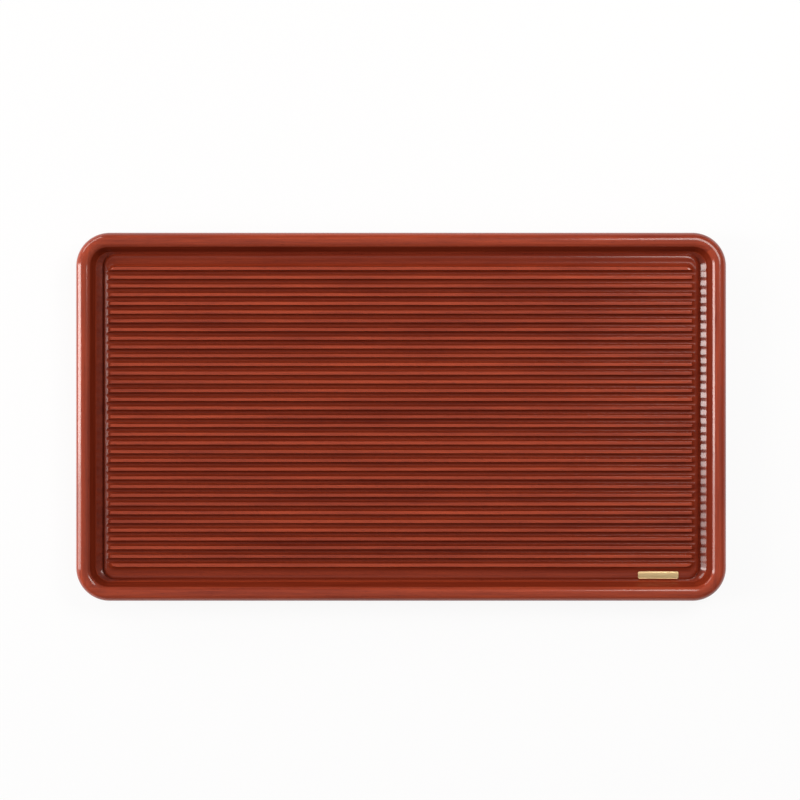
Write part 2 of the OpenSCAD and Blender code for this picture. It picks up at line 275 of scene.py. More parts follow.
# %% [markdown]
# A wood material places that group, turns it so that the grain runs along the piece, and lays a
# clear coat over it. Rails and boards run left to right; the end rails run front to back.

# %% Wood materials
relief_depth, relief_strength, undercoat_shine = 0.02 * MM, 0.6, 0.1


def new_material(name, display):
    material = bpy.data.materials.new(name)
    material.use_nodes = True
    material.diffuse_color = display
    tree = material.node_tree
    return material, tree, tree.nodes["Principled BSDF"]


def wood_material(name, turn, offset, tones, coat, coat_rough, contrast=1.0, all_sides=0.0):
    material, tree, skin = new_material(name, tones["Light"])
    origin = tree.nodes.new("ShaderNodeTexCoord")
    turned = tree.nodes.new("ShaderNodeMapping")
    turned.inputs["Rotation"].default_value = (0, 0, turn)
    turned.inputs["Location"].default_value = offset
    node = tree.nodes.new("ShaderNodeGroup")
    node.node_tree = grain
    for label, value in {**tones, "Contrast": contrast, "All sides": all_sides}.items():
        node.inputs[label].default_value = value
    relief = tree.nodes.new("ShaderNodeBump")
    relief.inputs["Distance"].default_value = relief_depth
    relief.inputs["Strength"].default_value = relief_strength
    tree.links.new(origin.outputs["Object"], turned.inputs["Vector"])
    tree.links.new(turned.outputs[0], node.inputs["Vector"])
    tree.links.new(origin.outputs["Object"], node.inputs["Place"])
    tree.links.new(node.outputs["Color"], skin.inputs["Base Color"])
    tree.links.new(node.outputs["Roughness"], skin.inputs["Roughness"])
    tree.links.new(node.outputs["Height"], relief.inputs["Height"])
    tree.links.new(relief.outputs[0], skin.inputs["Normal"])
    lacquer = Rule(tree, node.outputs["Polish"]) * coat
    tree.links.new(lacquer.socket, skin.inputs["Coat Weight"])
    skin.inputs["Coat Roughness"].default_value = coat_rough
    skin.inputs["Specular IOR Level"].default_value = undercoat_shine
    return material


quarter = math.pi / 2
satin = {"coat": 0.8, "coat_rough": 0.12}
thin = {"coat": 0.1, "coat_rough": 0.4}
red = {
    "Dark": (0.165, 0.0165, 0.005, 1),
    "Light": (0.385, 0.052, 0.015, 1),
    "Pore and painted shade": (0.08, 0.006, 0.002, 1),
}
pale = {
    "Dark": (0.24, 0.10, 0.04, 1),
    "Light": (0.50, 0.27, 0.13, 1),
    "Pore and painted shade": (0.12, 0.05, 0.02, 1),
}
long_rail_wood = wood_material("red hardwood, long rails", 0, (0.3, 0.1, 0), red, **satin)
end_rail_wood = wood_material("red hardwood, end rails", quarter, (0.9, 0.4, 0), red, **satin)
panel_wood = wood_material(
    "red hardwood, ribbed panel", 0, (0, 0, 0), red, **satin, all_sides=1.0
)
plain_wood = wood_material("plain hardwood", quarter, (0.2, 0.7, 0), pale, **thin)
print("woods:", [m.name for m in bpy.data.materials if "hardwood" in m.name])

# %% [markdown]
# ## Brass, steel and rubber
# The small plate is brass, brushed along its length. The screws are zinc-plated steel with a
# faint mottle. The feet are matt black rubber, a little dusty and scuffed.

# %% Small materials
def speckled_material(name, base, second, metallic, rough_range, scale, bump, steps=(0.35, 0.7)):
    material, tree, skin = new_material(name, base)
    origin = tree.nodes.new("ShaderNodeTexCoord")
    noise = stretched_noise(tree, origin.outputs["Object"], scale, 4.0, 0.6)
    mask = remap(noise, *steps)
    tree.links.new(mix_colour(tree, mask, base, second), skin.inputs["Base Color"])
    tree.links.new(remap(noise, 0.3, 0.7, *rough_range).socket, skin.inputs["Roughness"])
    relief = tree.nodes.new("ShaderNodeBump")
    relief.inputs["Distance"].default_value = bump
    tree.links.new(noise.socket, relief.inputs["Height"])
    tree.links.new(relief.outputs[0], skin.inputs["Normal"])
    skin.inputs["Metallic"].default_value = metallic
    return material


brass = speckled_material(
    "brushed brass",
    (0.78, 0.55, 0.27, 1),
    (0.88, 0.68, 0.38, 1),
    1.0,
    (0.28, 0.42),
    (60, 5200, 5200),
    0.01 * MM,
)
steel = speckled_material(
    "zinc-plated steel",
    (0.62, 0.61, 0.58, 1),
    (0.74, 0.73, 0.70, 1),
    1.0,
    (0.25, 0.45),
    (900, 900, 900),
    0.01 * MM,
)
rubber = speckled_material(
    "black rubber",
    (0.022, 0.020, 0.019, 1),
    (0.05, 0.047, 0.044, 1),
    0.0,
    (0.6, 0.85),
    (700, 700, 700),
    0.04 * MM,
)
print("materials:", [m.name for m in bpy.data.materials if m.users])

# %% [markdown]
# ## Finished pieces
# Every dressed piece ends in the same way. Doubled points are merged, the faces turn outwards,
# and the surface is smooth except at true edges. Then the piece takes the place of the CAD nodes
# that it stands for, and one printed line compares their boxes. Boards and plate come out a few
# millimetres smaller there, because tongues and studs that nobody sees are left out.

# %% Pieces
def keep(name, mesh, material=None, sharp=40):
    """Links a mesh as a finished piece, smooth with sharp edges past an angle."""
    shape = bmesh.new()
    shape.from_mesh(mesh)
    bmesh.ops.remove_doubles(shape, verts=shape.verts, dist=0.0005 * MM)
    bmesh.ops.recalc_face_normals(shape, faces=shape.faces)
    shape.to_mesh(mesh)
    shape.free()
    mesh.shade_smooth()
    mesh.set_sharp_from_angle(angle=math.radians(sharp))
    if material:
        mesh.materials.clear()
        mesh.materials.append(material)
    mesh.name = name
    piece = bpy.data.objects.new(name, mesh)
    bpy.context.scene.collection.objects.link(piece)
    return piece


def place(piece, slot, *nodes):
    """A finished piece rides on the tray's one body and stands for its CAD nodes."""
    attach(piece, "root")
    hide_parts(*nodes)
    low = [min(v.co[i] for v in piece.data.vertices) for i in range(3)]
    high = [max(v.co[i] for v in piece.data.vertices) for i in range(3)]
    boxes = [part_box(n) for n in nodes]
    cad = [min(b[0][i] for b in boxes) for i in range(3)]
    cad += [max(b[1][i] for b in boxes) for i in range(3)]
    gap = max(abs(a - b) for a, b in zip(low + high, cad)) / MM
    print(f"{piece.name}: {len(piece.data.polygons)} faces, box within {gap:.2f} mm of the CAD")


# %% [markdown]
# ## Geometry trees
# A tree is made once and its named inputs carry the sizes of one piece. The modifier's inputs are
# set by each socket's identifier, the evaluated result becomes a plain mesh, and the modifier goes.

# %% Tree helpers
def geometry_tree(name, inputs):
    tree = bpy.data.node_groups.new(name, "GeometryNodeTree")
    tree.interface.new_socket("Geometry", in_out="INPUT", socket_type="NodeSocketGeometry")
    for label, kind in inputs.items():
        tree.interface.new_socket(label, in_out="INPUT", socket_type="NodeSocket" + kind)
    tree.interface.new_socket("Geometry", in_out="OUTPUT", socket_type="NodeSocketGeometry")
    return tree, tree.nodes.new("NodeGroupInput"), tree.nodes.new("NodeGroupOutput")


def finish_tree(tree, entry, geometry, end):
    """Every tree ends by realizing instances and setting its material."""
    real = tree.nodes.new("GeometryNodeRealizeInstances")
    paint = tree.nodes.new("GeometryNodeSetMaterial")
    tree.links.new(geometry, real.inputs["Geometry"])
    tree.links.new(real.outputs[0], paint.inputs["Geometry"])
    tree.links.new(entry.outputs["Material"], paint.inputs["Material"])
    tree.links.new(paint.outputs[0], end.inputs["Geometry"])


def grow(name, data, tree, values):
    """Runs a tree on mesh or curve data and keeps the result as a plain mesh object."""
    seed = bpy.data.objects.new(name + " seed", data)
    bpy.context.scene.collection.objects.link(seed)
    modifier = seed.modifiers.new("tree", "NODES")
    modifier.node_group = tree
    for item in tree.interface.items_tree:
        if item.in_out == "INPUT" and item.name in values:
            modifier[item.identifier] = values[item.name]
    graph = bpy.context.evaluated_depsgraph_get()
    mesh = bpy.data.meshes.new_from_object(seed.evaluated_get(graph), depsgraph=graph)
    bpy.data.objects.remove(seed)
    return keep(name, mesh)


# %% [markdown]
# ## The frame
# Each rail is one moulding, shaped on a spindle moulder and mitred at the corners: a round outer
# shoulder, a tighter inner one, a steep wall, a small hollow at its foot, and a slope that sinks
# into the water channel on a wide arc. The CAD model makes the foot of the wall and the slope as
# one round hollow; here they are finer, within half a millimetre of it. A moulding is one section
# drawn along one path, so the section comes first, as points. It is a run of arcs, each given by
# its centre, its radius and two angles; u counts inward from the outer face of the rail.

# %% Section of a rail
def on_circle(centre, radius, degrees):
    """Points on a circle at the given angles."""
    x, y = centre
    return [(x + radius * math.cos(a), y + radius * math.sin(a)) for a in np.radians(degrees)]


def arc(centre, radius, start, end, steps):
    """Points on an arc, evenly spaced from one angle to another."""
    return on_circle(centre, radius, np.linspace(start, end, steps + 1))


shoulder_out, shoulder_in, foot_round = 8 * MM, 6.5 * MM, 3 * MM
shoulder_u, shoulder_z = rim_w - shoulder_in, rim_z - shoulder_in
wall_tilt = 63
channel_r, channel_u, channel_top = 30 * MM, 38.07 * MM, 41.4 * MM
hollow_r = 3 * MM
turn_u = 17.4 * MM
turn_tilt = math.degrees(math.asin((channel_u - turn_u) / channel_r))
turn_z = channel_top - channel_r * math.cos(math.radians(turn_tilt))
ledge_z = channel_top - math.sqrt(channel_r**2 - (channel_u - rail_w) ** 2)
lean = math.radians((wall_tilt + turn_tilt) / 2)
away = hollow_r / math.cos(math.radians((wall_tilt - turn_tilt) / 2))
hollow = (turn_u + away * math.sin(lean), turn_z + away * math.cos(lean))
section = (
    arc((shoulder_out, rim_z - shoulder_out), shoulder_out, 180, 90, 22)
    + arc((shoulder_u, shoulder_z), shoulder_in, 90, 90 - wall_tilt, 18)
    + arc(hollow, hollow_r, 270 - wall_tilt, 270 - turn_tilt, 6)
    + [(rail_w, ledge_z), (rail_w, wood_z)]
    + arc((foot_round, wood_z + foot_round), foot_round, 270, 180, 8)
)
print("rail section:", len(section), "points")

# %% [markdown]
# The section follows a path with half a round corner at each end, which is what Curve to Mesh is
# for. The path ends a hair past the mitre planes, so its caps are the mitres. The first steps of
# the turn are very short, because the cap of a long step would lean past the mitre.

# %% Path of a rail
def rail_path(straight, reach):
    """The outer edge of a rail that faces -Y, from one mitre to the other."""
    centre = straight / 2
    turned = np.array([0, 0.25, 0.75, 1.75, *np.linspace(4, 45, 19)])
    left = on_circle((-centre, corner_r - reach), corner_r, 225 + turned)
    right = on_circle((centre, corner_r - reach), corner_r, 315 - turned[::-1])
    hair = 0.001 * MM
    start = (left[0][0] - hair, left[0][1] + hair)
    end = (right[-1][0] + hair, right[-1][1] + hair)
    return [start] + left + right + [end]


def curve_data(name, points, closed, turn=0.0):
    data = bpy.data.curves.new(name, "CURVE")
    data.dimensions = "3D"
    line = data.splines.new("POLY")
    line.points.add(len(points) - 1)
    c, s = math.cos(turn), math.sin(turn)
    for point, (x, y) in zip(line.points, points):
        point.co = (c * x - s * y, s * x + c * y, 0, 1)
    line.use_cyclic_u = closed
    return data


sweep, sweep_in, sweep_out = geometry_tree(
    "moulded rail", {"Section": "Object", "Material": "Material"}
)
upright = sweep.nodes.new("GeometryNodeSetCurveNormal")
upright.mode = "Z_UP"
profile = sweep.nodes.new("GeometryNodeObjectInfo")
skin_node = sweep.nodes.new("GeometryNodeCurveToMesh")
skin_node.inputs["Fill Caps"].default_value = True
sweep.links.new(sweep_in.outputs["Geometry"], upright.inputs[0])
sweep.links.new(sweep_in.outputs["Section"], profile.inputs["Object"])
sweep.links.new(upright.outputs[0], skin_node.inputs["Curve"])
sweep.links.new(profile.outputs["Geometry"], skin_node.inputs["Profile Curve"])
finish_tree(sweep, sweep_in, skin_node.outputs[0], sweep_out)
print("rail tree:", len(sweep.nodes), "nodes")

# %% [markdown]
# The four rails differ only in the length of their straight part and in the way they face. One
# path is drawn for a rail at the front and turned to each side.

# %% Four rails
section_object = bpy.data.objects.new(
    "rail section", curve_data("rail section", [(-u, -z) for u, z in section], True)
)
bpy.context.scene.collection.objects.link(section_object)
long_straight = 2 * (half_l - corner_r)
end_straight = 2 * (half_w - corner_r)
rails = (
    ("front_rail", long_straight, half_w, 0, long_rail_wood),
    ("back_rail", long_straight, half_w, 2 * quarter, long_rail_wood),
    ("left_rail", end_straight, half_l, -quarter, end_rail_wood),
    ("right_rail", end_straight, half_l, quarter, end_rail_wood),
)
for node, straight, reach, turn, material in rails:
    path = curve_data(node + " path", rail_path(straight, reach), False, turn)
    rail = grow("moulded_" + node, path, sweep, {"Section": section_object, "Material": material})
    place(rail, "frame_wood", node)
bpy.data.objects.remove(section_object)

# %% [markdown]
# ## The ribbed boards
# Ribs, grooves, the hollow round them and the raised edge all follow rules: how high the wood
# stands at a point depends only on how far that point is from a line. So each board starts as a
# plain closed block with a finely divided top, and a tree lowers every point of the top to the
# height that the rules give. The divisions lie close together where the wood bends and far apart
# where it runs straight.

# %% Rows and columns
edge_soft = 0.45 * MM
groove_r = (rib_pitch - rib_flat) / 2
groove_axis_z = groove_z + groove_r
last_rib_y = (rib_count - 1) / 2 * rib_pitch
field_half_w = last_rib_y + rib_flat / 2
ribs_in_board = rib_count // boards


def groove_offsets():
    """Distances from a groove's axis at which a rib's profile needs a row."""
    sine = [groove_r * math.sin(math.radians(a)) for a in (0, 14, 28, 42, 56, 68, 78)]
    wall = [groove_r - 0.01 * MM, groove_r + 0.01 * MM]
    turn = [groove_r + edge_soft * (1 - math.sin(math.radians(a))) for a in (68, 48, 28, 10)]
    return sine + wall + turn + [groove_r + edge_soft * 1.1, rib_pitch / 2]


def rib_rows(first, last):
    """Rows between two groove axes, counted from the middle of the panel."""
    rows = set()
    for k in range(first, last + 1):
        for d in groove_offsets():
            for y in (k * rib_pitch - d, k * rib_pitch + d):
                if first * rib_pitch - tiny <= y <= last * rib_pitch + tiny:
                    rows.add(round(y, 7))
    return sorted(rows)


fine = 0.25 * MM
bend_reach = 3.5 * MM
straight_half_l = 240 * MM
corner_start = panel_half_l - panel_corner_r
end_columns = list(np.arange(-panel_half_l, bend_reach - edge_x, fine))
end_columns += [-edge_x + d * MM for d in (5, 7, 11)]
columns = end_columns + [-x for x in end_columns]
columns += list(np.linspace(-straight_half_l, straight_half_l, 13))
columns = sorted(set(round(float(x), 7) for x in columns + [corner_start, -corner_start]))
print("columns:", len(columns), "rows in a board:", len(rib_rows(0, ribs_in_board)))

# %% [markdown]
# A blank is the sawn board before carving: a closed block whose top is a grid of those rows and
# columns. The outer two boards have a round corner at each end, so the grid is bent there.

# %% Blanks
def block(name, xs, ys, low, high, bend=None):
    """A closed block with a divided top; bend moves points in plan."""
    nx, ny = len(xs), len(ys)
    top = [(x, y) for y in ys for x in xs]
    if bend:
        top = [bend(x, y) for x, y in top]
    grid = [
        (j * nx + i, j * nx + i + 1, (j + 1) * nx + i + 1, (j + 1) * nx + i)
        for j in range(ny - 1)
        for i in range(nx - 1)
    ]
    rim = (
        [i for i in range(nx)]
        + [j * nx + nx - 1 for j in range(1, ny)]
        + [(ny - 1) * nx + i for i in range(nx - 2, -1, -1)]
        + [j * nx for j in range(ny - 2, 0, -1)]
    )
    base = nx * ny
    points = [(x, y, high) for x, y in top] + [(*top[i], low) for i in rim]
    count = len(rim)
    walls = [
        (rim[k], base + k, base + (k + 1) % count, rim[(k + 1) % count])
        for k in range(count)
    ]
    bottom = [tuple(base + k for k in reversed(range(count)))]
    mesh = bpy.data.meshes.new(name)
    mesh.from_pydata(points, [], grid + walls + bottom)
    return mesh


def round_corners(half_x, half_y, radius, sides):
    """Bends square corners into quarter circles, on the sides of Y that are named."""

    def bend(x, y):
        a, b = abs(x) - (half_x - radius), abs(y) - (half_y - radius)
        if a > 0 and b > 0 and math.copysign(1, y) in sides:
            scale = max(a, b) / math.hypot(a, b)
            x = math.copysign(half_x - radius + a * scale, x)
            y = math.copysign(half_y - radius + b * scale, y)
        return x, y

    return bend


# %% [markdown]
# The hollow round the ribs, the raised edge and the slope of the frame run parallel to one
# another, round a rectangle with round corners. The distance to such a rectangle is one short
# formula, and each of the three is then an arc over that distance.

# %% Distances
tree_inputs = ["Rib pitch", "Groove radius", "Groove axis height", "Rib height", "Edge rounding"]
tree_inputs += ["Last rib", "Block inset", "Slope run", "Seat X", "Seat Y", "Underside"]
for form in ("Valley", "Crest", "Slope", "Seat"):
    tree_inputs += [form + part for part in (" height", " half length", " half width", " corner")]
    tree_inputs += [form + " radius"] if form != "Seat" else []
carve, carve_in, carve_out = geometry_tree(
    "carved board", {**{label: "Float" for label in tree_inputs}, "Material": "Material"}
)
size = {label: Rule(carve, carve_in.outputs[label]) for label in tree_inputs}
where = carve.nodes.new("GeometryNodeInputPosition")
px, py, pz = split(carve, where.outputs[0])


def outside(x, y, half_x, half_y, radius):
    """Distance to a rectangle with round corners, negative inside it."""
    a = x.math("ABSOLUTE") - half_x + radius
    b = y.math("ABSOLUTE") - half_y + radius
    corner = (a.most(0.0) * a.most(0.0) + b.most(0.0) * b.most(0.0)).root()
    return corner + a.most(b).least(0.0) - radius


def ring(name):
    parts = (" half length", " half width", " corner")
    return outside(px, py, *(size[name + part] for part in parts))


def bow(radius, distance):
    """Height of a circle over a distance from its axis."""
    return (radius * radius - distance * distance).root()


print("inputs of the carving:", len(tree_inputs))

# %% [markdown]
# Now each form is one height, as if it alone were cut. Cutting with a tool is the least of two
# heights, and where two raised forms meet, the most of the two stands. A height that is moved
# beyond the tray's thickness takes no part. Booleans could cut the same forms, but a grid that
# is moved by rule keeps its even faces, and a polished surface shows every uneven one.

# %% Rules of the carving
soft = 0.5 * MM
beyond = 20 * MM
underside_gap = 1 * MM
half_pitch = py.math("ABSOLUTE") / size["Rib pitch"] - 0.5
near = (half_pitch - half_pitch.math("ROUND")).math("ABSOLUTE") * size["Rib pitch"]
near = near + py.math("ABSOLUTE").above(size["Last rib"]) * beyond
in_groove = size["Groove axis height"] - bow(size["Groove radius"], near)
rounding = size["Edge rounding"]
turning = ((size["Groove radius"] + rounding - near) / rounding).most(0.0).least(1.0)
on_rib = size["Rib height"] - rounding + rounding * (turning * turning * -1.0 + 1.0).root()
on_top = near.above(size["Groove radius"])
ribs = in_groove + on_top * (on_rib - in_groove)

valley_gap = ring("Valley")
valley = size["Valley height"] - bow(size["Valley radius"], valley_gap)
crest = size["Crest height"] + bow(size["Crest radius"], ring("Crest").most(0.0))
channel = size["Slope height"] - bow(size["Slope radius"], ring("Slope") + size["Slope run"])
field = size["Rib height"] - (valley_gap + size["Block inset"]).above(0.0) * beyond
seat_sizes = (size["Seat half length"], size["Seat half width"], size["Seat corner"])
off_seat = outside(px - size["Seat X"], py - size["Seat Y"], *seat_sizes).above(0.0)
seat = size["Seat height"] + off_seat * beyond
carved = crest.most(channel, soft).most(field).least(valley, soft).least(ribs).least(seat)
print("rules of the carving:", len(carve.nodes), "nodes")

# %% [markdown]
# Set Position then moves every point of the grid to the carved height. The selection keeps the
# underside of the board flat where it is.

# %% Carving tree
target = carve.nodes.new("ShaderNodeCombineXYZ")
for rule, spot in ((px, 0), (py, 1), (carved, 2)):
    carve.links.new(rule.socket, target.inputs[spot])
lower = carve.nodes.new("GeometryNodeSetPosition")
carve.links.new(carve_in.outputs["Geometry"], lower.inputs["Geometry"])
carve.links.new(pz.above(size["Underside"] + underside_gap).socket, lower.inputs["Selection"])
carve.links.new(target.outputs[0], lower.inputs["Position"])
finish_tree(carve, carve_in, lower.outputs[0], carve_out)
print("carving tree:", len(carve.nodes), "nodes")

# %% [markdown]
# The radii are those of the cutters: a round one of 2.4 mm for the grooves, 5.5 mm for the hollow
# round the ribs, 5 mm for the raised edge and 30 mm for the slope. The seat is the shallow recess
# that the brass plate is let into.

# %% Sizes for the carving
edge_r = 5 * MM
valley_r = 5.5 * MM
valley_drop = 0.1 * MM
overlap = 0.06 * MM
edge_axis_z = crest_z - edge_r
valley_axis_z = groove_z - valley_drop + valley_r
valley_reach = math.sqrt(valley_r**2 - (valley_axis_z - rib_z) ** 2)
valley_run = math.sqrt((edge_r + valley_r - overlap) ** 2 - (valley_axis_z - edge_axis_z) ** 2)
plate_low, plate_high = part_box("brass_plate")
plate_x = (plate_low.x + plate_high.x) / 2
plate_y = (plate_low.y + plate_high.y) / 2
plate_half_l = (plate_high.x - plate_low.x) / 2
plate_half_w = (plate_high.y - plate_low.y) / 2
seat_gap = 0.1 * MM
seat_depth = 1.5 * MM
plate_seat_z = crest_z - seat_depth
slope_run = 7 * MM
carving = {
    "Rib pitch": rib_pitch, "Groove radius": groove_r, "Groove axis height": groove_axis_z,
    "Rib height": rib_z, "Edge rounding": edge_soft, "Last rib": last_rib_y,
    "Valley radius": valley_r, "Valley height": valley_axis_z,
    "Valley half length": edge_x + valley_run, "Valley half width": field_half_w + valley_reach,
    "Valley corner": 9.5 * MM, "Block inset": valley_run * valley_r / (edge_r + valley_r),
    "Crest radius": edge_r, "Crest height": edge_axis_z,
    "Crest half length": edge_x, "Crest half width": edge_y, "Crest corner": 7 * MM,
    "Slope radius": channel_r, "Slope height": channel_top,
    "Slope run": channel_u - rail_w - slope_run,
    "Slope half length": panel_half_l - slope_run, "Slope half width": panel_half_w - slope_run,
    "Slope corner": panel_corner_r - slope_run,
    "Seat height": plate_seat_z, "Seat X": plate_x, "Seat Y": plate_y,
    "Seat half length": plate_half_l + seat_gap, "Seat half width": plate_half_w + seat_gap,
    "Seat corner": 1.7 * MM, "Underside": panel_z, "Material": panel_wood,
}  # fmt: skip
print("raised edge at", round(edge_x, 5), round(edge_y, 5))

# %% [markdown]
# Each of the five boards carries seven ribs and is joined to the next at the bottom of a groove,
# where a joint shows least. The outer boards also carry the raised edge and the slope, and the
# front one has extra rows and columns round the seat of the plate.

# %% Five boards
def tidy(values):
    return sorted(set(round(float(v), 7) for v in values))


outermost = rib_count // 2
outer_rows = [y + rib_pitch / 2 for y in rib_rows(outermost - ribs_in_board, outermost)]
outer_rows = [y for y in outer_rows if y <= last_rib_y + tiny]
outer_rows += list(np.arange(last_rib_y + rib_flat / 4, panel_half_w, fine))
outer_rows = tidy(outer_rows + [panel_half_w, panel_half_w - panel_corner_r])
seat_columns, seat_rows = [], []
hairs = (-0.01 * MM, 0.01 * MM)
seat_step = 0.2 * MM
for side in (-1, 1):
    end_x = plate_x + side * (plate_half_l + seat_gap)
    end_y = plate_y + side * (plate_half_w + seat_gap)
    seat_columns += [end_x + side * d for d in hairs]
    seat_columns += [end_x - side * k * seat_step for k in range(1, 10)]
    seat_rows += [end_y + side * d for d in hairs]


def inner_rows(index):
    start = (index - boards / 2) * rib_count / boards
    return tidy(y + start * rib_pitch for y in rib_rows(0, ribs_in_board))


last_board = boards - 1
corner_bend = {
    0: round_corners(panel_half_l, panel_half_w, panel_corner_r, (-1,)),
    last_board: round_corners(panel_half_l, panel_half_w, panel_corner_r, (1,)),
}
board_nodes = ("front_board", "front_mid_board", "middle_board", "back_mid_board", "back_board")
for index, node in enumerate(board_nodes):
    if index == last_board:
        rows = outer_rows
    elif index == 0:
        rows = tidy([-y for y in outer_rows] + seat_rows)
    else:
        rows = inner_rows(index)
    xs = tidy(columns + seat_columns) if index == 0 else columns
    blank = block(node + " blank", xs, rows, panel_z, rib_z, corner_bend.get(index))
    board = grow("ribbed_" + node, blank, carve, carving)
    place(board, "panel_wood", node)

# %% [markdown]
# ## The brass plate
# A small plate is let into the border at the front right. It is slightly crowned across its
# width, its edge is broken, and a fine line is engraved just inside the edge. A divided block
# again takes the shape by rule, this time in plain code, because there is only one plate.

# %% Brass plate
plate_top = plate_high.z
plate_corner = 1.6 * MM
plate_edge = 0.25 * MM
line_in, line_w, line_d = 0.8 * MM, 0.13 * MM, 0.07 * MM
crown_r = 26 * MM


def inset(x, y):
    """Distance from a point on the plate to its outline."""
    a = abs(x) - plate_half_l + plate_corner
    b = abs(y) - plate_half_w + plate_corner
    return plate_corner - math.hypot(max(a, 0), max(b, 0)) - min(max(a, b), 0)


def plate_lines(half):
    marks = [0, 0.03, 0.08, 0.15, 0.25, 0.5, 0.67, 0.74, 0.8, 0.86, 0.93]
    marks += [1.2, 1.4, 1.6, 2.0, 2.6, 3.2]
    lines = [half - m * MM for m in marks if half - m * MM > 0]
    return sorted(set([0.0] + lines + [-v for v in lines]))


plate_mesh = block(
    "plate blank",
    plate_lines(plate_half_l),
    plate_lines(plate_half_w),
    plate_seat_z,
    plate_top,
    round_corners(plate_half_l, plate_half_w, plate_corner, (-1, 1)),
)
for vertex in plate_mesh.vertices:
    x, y, z = vertex.co
    if z > plate_seat_z + 0.1 * MM:
        depth = min(max(inset(x, y), 0), plate_edge)
        crown = plate_top - crown_r + math.sqrt(crown_r**2 - y**2)
        broken = plate_edge - math.sqrt(plate_edge**2 - (plate_edge - depth) ** 2)
        line = line_d * max(0, 1 - abs(inset(x, y) - line_in) / line_w)
        vertex.co.z = crown - broken - line
    vertex.co.x += plate_x
    vertex.co.y += plate_y
plate = keep("engraved_brass_plate", plate_mesh, brass, 30)
place(plate, "plate_brass", "brass_plate")

# %% [markdown]
# ## Feet and screws
# Turned parts come from one helper that spins a profile round the Z axis. The foot is a low cup of
# rubber with a round lip, a groove round the lip and a deep hole for its screw.

# %% Turned parts
def lathe(name, profile, segments, shape=None):
    """Spins (radius, height) points round Z; the first and last lie on the axis."""
    rings = profile[1:-1]
    points = [(0, 0, profile[0][1])]
    for radius, z in rings:
        for k in range(segments):
            a = 2 * math.pi * k / segments
            x, y = radius * math.cos(a), radius * math.sin(a)
            points.append((x, y, shape(x, y, z) if shape else z))
    points.append((0, 0, profile[-1][1]))
    last = len(points) - 1
    faces = []
    for k in range(segments):
        n = (k + 1) % segments
        faces.append((0, 1 + k, 1 + n))
        for ring_index in range(len(rings) - 1):
            a = 1 + ring_index * segments
            b = a + segments
            faces.append((a + k, b + k, b + n, a + n))
        a = 1 + (len(rings) - 1) * segments
        faces.append((a + k, last, a + n))
    mesh = bpy.data.meshes.new(name)
    mesh.from_pydata(points, [], faces)
    return mesh


foot_r, foot_low_r, head_r, seat_z = 10 * MM, 9 * MM, 3.2 * MM, 2.3 * MM
hole_r, hole_round, toe_round = head_r + 0.1 * MM, 0.25 * MM, 1.0 * MM
lip_groove = ((5.4, 0), (5.55, 0.25), (6.05, 0.25), (6.2, 0))
foot_profile = (
    [(0, seat_z), (hole_r, seat_z), (hole_r, hole_round)]
    + arc((hole_r + hole_round, hole_round), hole_round, 180, 270, 4)
    + [(r * MM, z * MM) for r, z in lip_groove]
    + arc((foot_low_r - toe_round, toe_round), toe_round, 270, 355, 8)
    + [(foot_r - 0.05 * MM, wood_z - 0.3 * MM), (foot_r - 0.2 * MM, wood_z), (0, wood_z)]
)
foot_mesh = lathe("rubber foot", foot_profile, 64)
print("foot:", len(foot_mesh.polygons), "faces")

# %% [markdown]
# A screw has a low round head with a cross recess, which is a rule on the distance from two lines
# through the middle of the head. The rings of the flat are close together where the cross ends.

# %% Screw
recess_depth = 1.0 * MM


def recess(x, y, z):
    """Sinks a tapered cross into the flat of the head."""
    arm, length, wall_run, tip_run = 0.42 * MM, 1.75 * MM, 0.12 * MM, 0.5 * MM
    x, y = abs(x), abs(y)
    across, along = min(x, y), max(x, y)
    wall = min(max((arm - across) / wall_run, 0), 1)
    tip = min(max((length - along) / tip_run, 0), 1)
    on_flat = z < 0.01 * MM and along < 2.4 * MM
    return z + recess_depth * wall * tip if on_flat else z


def screw_profile(shank):
    """A low round head, drive side at zero, with its shank and point above it."""
    rings = (0.12, 0.25, 0.38, 0.45, 0.52, 0.7, 0.9, 1.1, 1.3, 1.5, 1.65, 1.8, 2.2, 2.5)
    flat = [(r * MM, 0) for r in rings]
    head_round, shank_r, point, point_r = 0.6 * MM, 1.5 * MM, 2 * MM, 0.4 * MM
    edge = arc((head_r - head_round, head_round), head_round, 270, 360, 6)
    neck = 1.8 * MM
    tip = neck + shank
    body = [(head_r, neck), (shank_r, neck), (shank_r, tip - point)]
    return [(0, recess_depth)] + flat + edge + body + [(point_r, tip), (0, tip)]


foot_screw = lathe("foot screw", screw_profile(7.5 * MM), 72, recess)
batten_screw = lathe("batten screw", screw_profile(12 * MM), 72, recess)
print("screw:", len(foot_screw.polygons), "faces")

# %% [markdown]
# Each part is made once, and a small tree sets copies of it on the points where they belong. A
# screw stops at any angle when it is driven home, so the tree gives each copy its own turn, from
# a fixed seed.

# %% Copies on points
scatter, scatter_in, scatter_out = geometry_tree(
    "copies on points", {"Part": "Object", "Turn": "Float", "Seed": "Int", "Material": "Material"}
)
part_info = scatter.nodes.new("GeometryNodeObjectInfo")
spread = scatter.nodes.new("GeometryNodeInstanceOnPoints")
random_turn = scatter.nodes.new("FunctionNodeRandomValue")
turn_vector = scatter.nodes.new("ShaderNodeCombineXYZ")
scatter.links.new(scatter_in.outputs["Part"], part_info.inputs["Object"])
scatter.links.new(scatter_in.outputs["Geometry"], spread.inputs["Points"])
scatter.links.new(part_info.outputs["Geometry"], spread.inputs["Instance"])
scatter.links.new(scatter_in.outputs["Turn"], random_turn.inputs[3])
scatter.links.new(scatter_in.outputs["Seed"], random_turn.inputs["Seed"])
scatter.links.new(random_turn.outputs[1], turn_vector.inputs[2])
scatter.links.new(turn_vector.outputs[0], spread.inputs["Rotation"])
finish_tree(scatter, scatter_in, spread.outputs[0], scatter_out)


